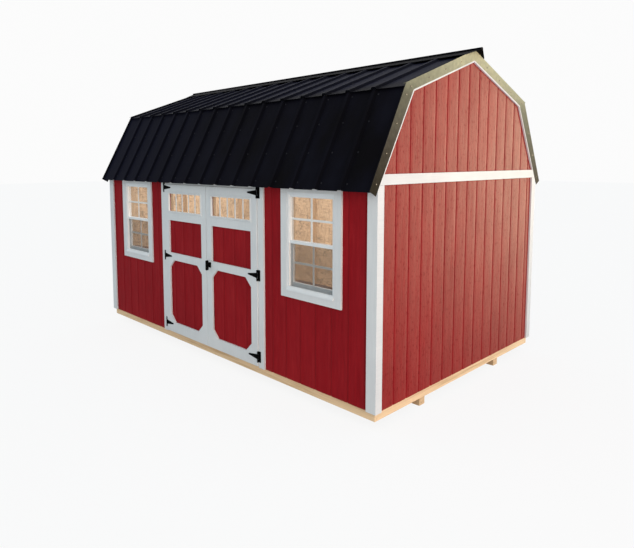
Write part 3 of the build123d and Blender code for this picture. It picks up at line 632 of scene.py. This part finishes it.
shape = bmesh.new()
leaf_gap, stop_width, stop_thick, stop_drop = 0.0038, 0.010, 0.016, 0.012
leaf_low, leaf_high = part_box("left_door_panel")
front, back = leaf_high[1] + 0.002, leaf_high[1] + 0.002 + stop_thick
opening_half, opening_head = -leaf_low[0] + leaf_gap, leaf_high[2] + leaf_gap
opening_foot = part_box("floor_deck")[1][2] + 0.001
add_bar(shape, (-opening_half, front, opening_head - stop_drop), (opening_half, back, opening_head))
for side in (-1, 1):
    edges = sorted((side * (opening_half - stop_width), side * opening_half))
    add_bar(shape, (edges[0], front, opening_foot), (edges[1], back, opening_head - stop_drop - 0.0005))
stops = make_piece("door_stops", shape, upright_white, "barn")

shape = bmesh.new()
for low, high in loose_solids("window_frames"):
    glass_foot = min(pane[0].z for pane in panes if low.x < pane[0].x < high.x)
    front = max(high.y, -wall_y) + 0.001
    top, thick, wide = glass_foot - 0.004, 0.038, 0.089
    add_bar(shape, (low.x + 0.001, front, top - thick), (high.x - 0.001, front + wide, top))
# Painted shade: the sills' dark wood stands in for the shade under the windows.
rough_sills = make_piece("window_rough_sills", shape, sill_wood, "barn")
print("sills and stops:", sum(count_faces(piece) for piece in (sills, stops, rough_sills)), "triangles")

# %% [markdown]
# ## Row of lights in each door leaf
# Above the panels each leaf has a low window: a moulded frame round the glass and four uprights
# that make five small panes. The moulding is one profile carried round the opening with mitred
# corners. Each corner gets a copy of the profile, turned half-way, and quads join them.

# %% Door lights
def moulding(shape, low, high, face_y, profile):
    """Carries (inward, forward) points round the edge of an upright rectangle."""
    corners = [(low.x, low.z, 1, 1), (high.x, low.z, -1, 1),
               (high.x, high.z, -1, -1), (low.x, high.z, 1, -1)]
    rings = []
    for x, z, step_x, step_z in corners:
        rings.append([shape.verts.new((x + step_x * a, face_y - b, z + step_z * a)) for a, b in profile])
    count = len(profile)
    for i in range(4):
        here, after = rings[i], rings[(i + 1) % 4]
        for k in range(count):
            shape.faces.new((here[k], after[k], after[(k + 1) % count], here[(k + 1) % count]))


light_profile = [(-0.016, 0.0), (-0.016, 0.004), (-0.010, 0.008), (0.0, 0.008), (0.004, 0.004),
                 (0.004, -0.015), (0.0, -0.015), (0.0, 0.0)]
rebate, small_panes = 0.004, 5
upright_half, upright_proud = 0.008, 0.007


def door_light(name, node, body):
    (low, high), = loose_solids(node)
    board_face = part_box(node.replace("light", "boards"))[0][1]
    shape = bmesh.new()
    moulding(shape, low, high, board_face, light_profile)
    step = (high.x - low.x - 2 * rebate) / small_panes
    for i in range(1, small_panes):
        x = low.x + rebate + step * i
        add_bar(shape, (x - upright_half, low.y - upright_proud, low.z),
                (x + upright_half, low.y - hair, high.z))
    return make_piece(name, shape, upright_white, body)


left_light = door_light("left_door_light_frame", "left_door_light", "left_door")
right_light = door_light("right_door_light_frame", "right_door_light", "right_door")
print("door light frames:", count_faces(left_light) + count_faces(right_light), "triangles")

# %% [markdown]
# ## Screws
# Screws are what tells the eye how large a barn is. The roof takes hex heads on washers beside the
# ribs, the rakes take pan heads, and the hinges take countersunk domes. Each kind is built once as
# a small lathe shape and set down at every place, turned so that it stands square to its surface.
# Where the upper sheets end over the break, foam blocks close their hollow ribs.

# %% Screw shapes
def set_down(shape, outline, place, normal, sides=12):
    """Turns an (outward, upward) outline about the normal at a place."""
    turn = Vector(normal).to_track_quat("Z", "Y").to_matrix().to_4x4()
    spot = Matrix.Translation(Vector(place)) @ turn
    rings = []
    for radius, height in outline:
        if radius == 0:
            rings.append([shape.verts.new(spot @ Vector((0, 0, height)))])
            continue
        ring = []
        for k in range(sides):
            angle = 2 * math.pi * k / sides
            point = Vector((radius * math.cos(angle), radius * math.sin(angle), height))
            ring.append(shape.verts.new(spot @ point))
        rings.append(ring)
    for lower, upper in zip(rings, rings[1:]):
        for k in range(sides):
            n = (k + 1) % sides
            if len(upper) == 1:
                shape.faces.new((lower[k], lower[n], upper[0]))
            else:
                shape.faces.new((lower[k], lower[n], upper[n], upper[k]))
    shape.faces.new(list(reversed(rings[0])))


washer = [(0.0085, -0.0005), (0.0085, 0.0012), (0.007, 0.002), (0.0, 0.0022)]
hex_head = [(0.0046, 0.0018), (0.0046, 0.006), (0.0038, 0.0068), (0.0, 0.0068)]
pan_head = [(0.0075, -0.0003), (0.0072, 0.0018), (0.0048, 0.0034), (0.0, 0.0039)]
dome_head = [(0.0055, -0.0003), (0.005, 0.0012), (0.003, 0.002), (0.0, 0.0023)]
print("screw shapes: 4")

# %% Roof screws
slopes = {
    "lower": ((1.668, 2.111), math.radians(62)),
    "upper": ((1.2053, 3.0253), math.radians(20)),
}
screw_rows = {"lower": (0.07, 0.38, 0.69, 0.97), "upper": (0.06, 0.40, 0.74, 1.05)}
rib_pitch, pan_depth, beside_rib = 0.3048, 0.022, 0.052
ribs = [k * rib_pitch for k in range(-7, 8)]
long_sides = ((-1, "front"), (1, "back"))


def slope_point(level, side, x, up, inset):
    """A place so far up a slope from its lower edge, and so far below the ribs' tops."""
    (reach, height), pitch = slopes[level]
    y = reach - up * math.cos(pitch) - inset * math.sin(pitch)
    z = height + up * math.sin(pitch) - inset * math.cos(pitch)
    return Vector((x, side * y, z))


def roof_screws(name, side, level):
    pitch = slopes[level][1]
    normal = Vector((0, side * math.sin(pitch), math.cos(pitch)))
    shape = bmesh.new()
    for up in screw_rows[level]:
        for rib in ribs:
            spot = slope_point(level, side, rib + beside_rib, up, pan_depth)
            set_down(shape, washer, spot, normal)
            set_down(shape, hex_head, spot, normal, sides=6)
    return make_piece(name, shape, screw_grey, "barn")


for side, word in long_sides:
    for level in slopes:
        piece = roof_screws(f"{word}_{level}_roof_screws", side, level)
        print(piece.name, count_faces(piece), "triangles")

# %% Rib closures
closure_outline = ((-0.033, 0.0232), (0.033, 0.0232), (0.0155, 0.0028), (-0.0155, 0.0028))
closure_ends = (0.006, 0.024)


def rib_closures(name, side):
    """Foam blocks that close the hollow ribs of the upper sheets above the break."""
    shape = bmesh.new()
    for rib in ribs:
        ends = []
        for up in closure_ends:
            ends.append([shape.verts.new(slope_point("upper", side, rib + x, up, inset))
                         for x, inset in closure_outline])
        for i in range(4):
            n = (i + 1) % 4
            shape.faces.new((ends[0][i], ends[0][n], ends[1][n], ends[1][i]))
        shape.faces.new(ends[0])
        shape.faces.new(ends[1])
    return make_piece(name, shape, cap_black, "barn")


for side, word in long_sides:
    piece = rib_closures(f"{word}_rib_closures", side)
    print(piece.name, count_faces(piece), "triangles")

# %% Rake screws
rake_spacing = {"lower": 0.29, "upper": 0.3}
rake_screw_count, rake_start, rake_inset = 4, 0.09, 0.05


def rake_screws(name, gable):
    shape = bmesh.new()
    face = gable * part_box("right_rake_flashing")[1][0]
    for level, spacing in rake_spacing.items():
        for side in (-1, 1):
            for k in range(rake_screw_count):
                spot = slope_point(level, side, face, rake_start + spacing * k, rake_inset)
                set_down(shape, pan_head, spot, (gable, 0, 0))
    return make_piece(name, shape, screw_brown, "barn", smooth=True)


for gable, word in ((-1, "left"), (1, "right")):
    piece = rake_screws(f"{word}_rake_screws", gable)
    print(piece.name, count_faces(piece), "triangles")

# %% Hinge and latch screws
outwards = (0, -1, 0)
strap_holes = ((0.03, 0.012), (0.03, -0.012), (0.075, 0.0), (0.125, 0.0))
plate_holes, plate_shift = (-0.046, -0.016, 0.016, 0.046), 0.008
latch_holes, latch_margin = (-0.021, 0.021), 0.009
strap_thick, plate_thick, latch_thick = 0.003, 0.003, 0.004


def strap_screws(name, node, body, inward):
    shape = bmesh.new()
    for low, high in loose_solids(node):
        middle = (low.z + high.z) / 2
        root = low.x if inward > 0 else high.x
        face = high.y - strap_thick
        for reach, lift in strap_holes:
            set_down(shape, dome_head, (root + inward * reach, face, middle + lift), outwards)
    return make_piece(name, shape, black_enamel, body, smooth=True)


strap_screws("left_strap_screws", "left_door_straps", "left_door", 1)
strap_screws("right_strap_screws", "right_door_straps", "right_door", -1)

shape = bmesh.new()
casing_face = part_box("door_casing")[0][1]
for low, high in loose_solids("hinge_plates"):
    middle = Vector(((low.x + high.x) / 2, casing_face - plate_thick, (low.z + high.z) / 2))
    away = plate_shift if middle.x > 0 else -plate_shift
    for lift in plate_holes:
        set_down(shape, dome_head, middle + Vector((away, 0, lift)), outwards)
plate_heads = make_piece("hinge_plate_screws", shape, black_enamel, "barn", smooth=True)

shape = bmesh.new()
low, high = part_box("door_latch")
for x in (low[0] + latch_margin, high[0] - latch_margin):
    for lift in latch_holes:
        spot = (x, high[1] - latch_thick, (low[2] + high[2]) / 2 + lift)
        set_down(shape, dome_head, spot, outwards)
latch_heads = make_piece("latch_screws", shape, black_enamel, "right_door", smooth=True)
print("hinge plate and latch screws:", count_faces(plate_heads) + count_faces(latch_heads), "triangles")

# %% [markdown]
# ## Hinge webs
# Each hinge plate is folded forward beside the knuckle, which keeps light from showing through the
# hinge. Here the fold is a thin upright web on each plate, just clear of the turning knuckle.

# %% Hinge webs
web_place, web_thick, web_half, web_radius = 0.012, 0.0018, 0.0305, 0.0004
web_front, web_back = 0.0115, 0.0032
shape = bmesh.new()
for low, high in loose_solids("hinge_plates"):
    side = 1 if low.x > 0 else -1
    near = min(abs(low.x), abs(high.x)) + web_place
    edges = sorted((side * near, side * (near + web_thick)))
    middle = (low.z + high.z) / 2
    add_bar(shape, (edges[0], high.y - web_front, middle - web_half),
            (edges[1], high.y - web_back, middle + web_half), web_radius)
webs = make_piece("hinge_webs", shape, black_enamel, "barn")
print("hinge webs:", count_faces(webs), "triangles")

# %% [markdown]
# ## Floor, light and camera
# The barn stands on a plain pale studio floor. The world gives an even, slightly cool light, which
# is what the door front shows, and a large warm lamp on the right lights the gable. A second soft
# lamp far behind on the right only grazes the gable, and gives its paint the pale sheen. A lamp in the
# room keeps the bare wood inside readable through the glass. For the camera, for mirror-like
# metal and through glass, world and floor are near white, while the floor keeps the barn's shadow.

# %% Floor and world
bpy.context.scene.view_settings.view_transform = "Standard"

bpy.ops.mesh.primitive_plane_add(size=120.0, location=(0, 0, 0))
floor = bpy.context.object
floor.name = "studio_floor"


def seen_directly(owner):
    """1 for the camera, for mirror-like metal and through glass, else 0."""
    rays = add_node(owner, "ShaderNodeLightPath").outputs
    indirect = math_node(owner, "MAXIMUM", rays["Is Glossy Ray"], rays["Is Transmission Ray"])
    return math_node(owner, "MAXIMUM", rays["Is Camera Ray"], indirect)


def blend_shaders(owner, share, plain, bright, output):
    mixed = add_node(owner, "ShaderNodeMixShader")
    join(owner, share, mixed.inputs["Fac"])
    join(owner, plain, mixed.inputs[1])
    join(owner, bright, mixed.inputs[2])
    join(owner, mixed.outputs["Shader"], owner.node_tree.nodes[output].inputs["Surface"])


floor_paint, matt = start_finish("studio_floor_paint", 0.9, 0.0)
matt.inputs["Base Color"].default_value = (0.82, 0.82, 0.82, 1.0)
glow = add_node(floor_paint, "ShaderNodeEmission")
glow.inputs["Color"].default_value = (1.0, 1.0, 1.0, 1.0)
glow.inputs["Strength"].default_value = 1.0
share = math_node(floor_paint, "MULTIPLY", seen_directly(floor_paint), 0.88)
blend_shaders(floor_paint, share, matt.outputs["BSDF"], glow.outputs["Emission"], "Material Output")
floor.data.materials.append(floor_paint)

world = bpy.data.worlds.new("studio_air")
bpy.context.scene.world = world
world.use_nodes = True
soft = world.node_tree.nodes["Background"]
soft.inputs["Color"].default_value = (0.855, 0.97, 1.03, 1.0)
soft.inputs["Strength"].default_value = 0.71
white = add_node(world, "ShaderNodeBackground")
white.inputs["Color"].default_value = (0.97, 0.97, 0.97, 1.0)
blend_shaders(world, seen_directly(world), soft.outputs["Background"], white.outputs["Background"],
              "World Output")
print("floor and world ready")

# %% Lamps
def soft_lamp(name, place, target, size, power, colour):
    light = bpy.data.lights.new(name, "AREA")
    light.shape = "RECTANGLE"
    light.size, light.size_y = size
    light.energy = power
    light.color = colour
    lamp = bpy.data.objects.new(name, light)
    lamp.location = place
    lamp.rotation_euler = (Vector(target) - Vector(place)).to_track_quat("-Z", "Y").to_euler()
    lamp.visible_camera = False
    bpy.context.scene.collection.objects.link(lamp)
    return lamp


gable_glow, sheen_glow, room_glow = (1.0, 0.78, 0.65), (1.0, 0.80, 0.54), (1.0, 1.0, 0.98)
soft_lamp("gable_lamp", (11.0, -3.6, 3.5), (2.4, 0, 1.4), (4.5, 4.5), 362.0, gable_glow)
sheen_lamp = soft_lamp("sheen_lamp", (7.0, 8.0, 2.5), (2.4, 0.3, 1.7), (4.0, 4.9), 5000.0, sheen_glow)
room_lamp = soft_lamp("room_lamp", (0, 0, 2.16), (0, 0.001, 0), (4.5, 2.6), 121.0, room_glow)
sheen_lamp.visible_diffuse = False
room_lamp.visible_transmission = False
room_lamp.visible_glossy = False
print("lamps: 3")

# %% Camera
camera_place = Vector((5.28536, -5.22929, 2.35921))
yaw, pitch, roll = 0.809159, 0.093391, -0.003275
focal_px, middle_px = 550.905, (291.82, 212.94)
image_px, sensor_mm = (634, 548), 36.0
forward = Vector((-math.sin(yaw) * math.cos(pitch), math.cos(yaw) * math.cos(pitch), -math.sin(pitch)))
level = Vector((math.cos(yaw), math.sin(yaw), 0))
upward = level.cross(forward)
across = level * math.cos(roll) + upward * math.sin(roll)
upward = upward * math.cos(roll) - level * math.sin(roll)

lens = bpy.data.cameras.new("barn_camera")
lens.sensor_width = sensor_mm
lens.lens = focal_px * sensor_mm / image_px[0]
lens.shift_x = (image_px[0] / 2 - middle_px[0]) / image_px[0]
lens.shift_y = (middle_px[1] - image_px[1] / 2) / image_px[0]
camera = bpy.data.objects.new("barn_camera", lens)
turn = Matrix((across, upward, -forward)).transposed().to_4x4()
camera.matrix_world = Matrix.Translation(camera_place) @ turn
bpy.context.scene.collection.objects.link(camera)
bpy.context.scene.camera = camera
print("lens:", round(lens.lens, 2), "mm, shift:", round(lens.shift_x, 4), round(lens.shift_y, 4))
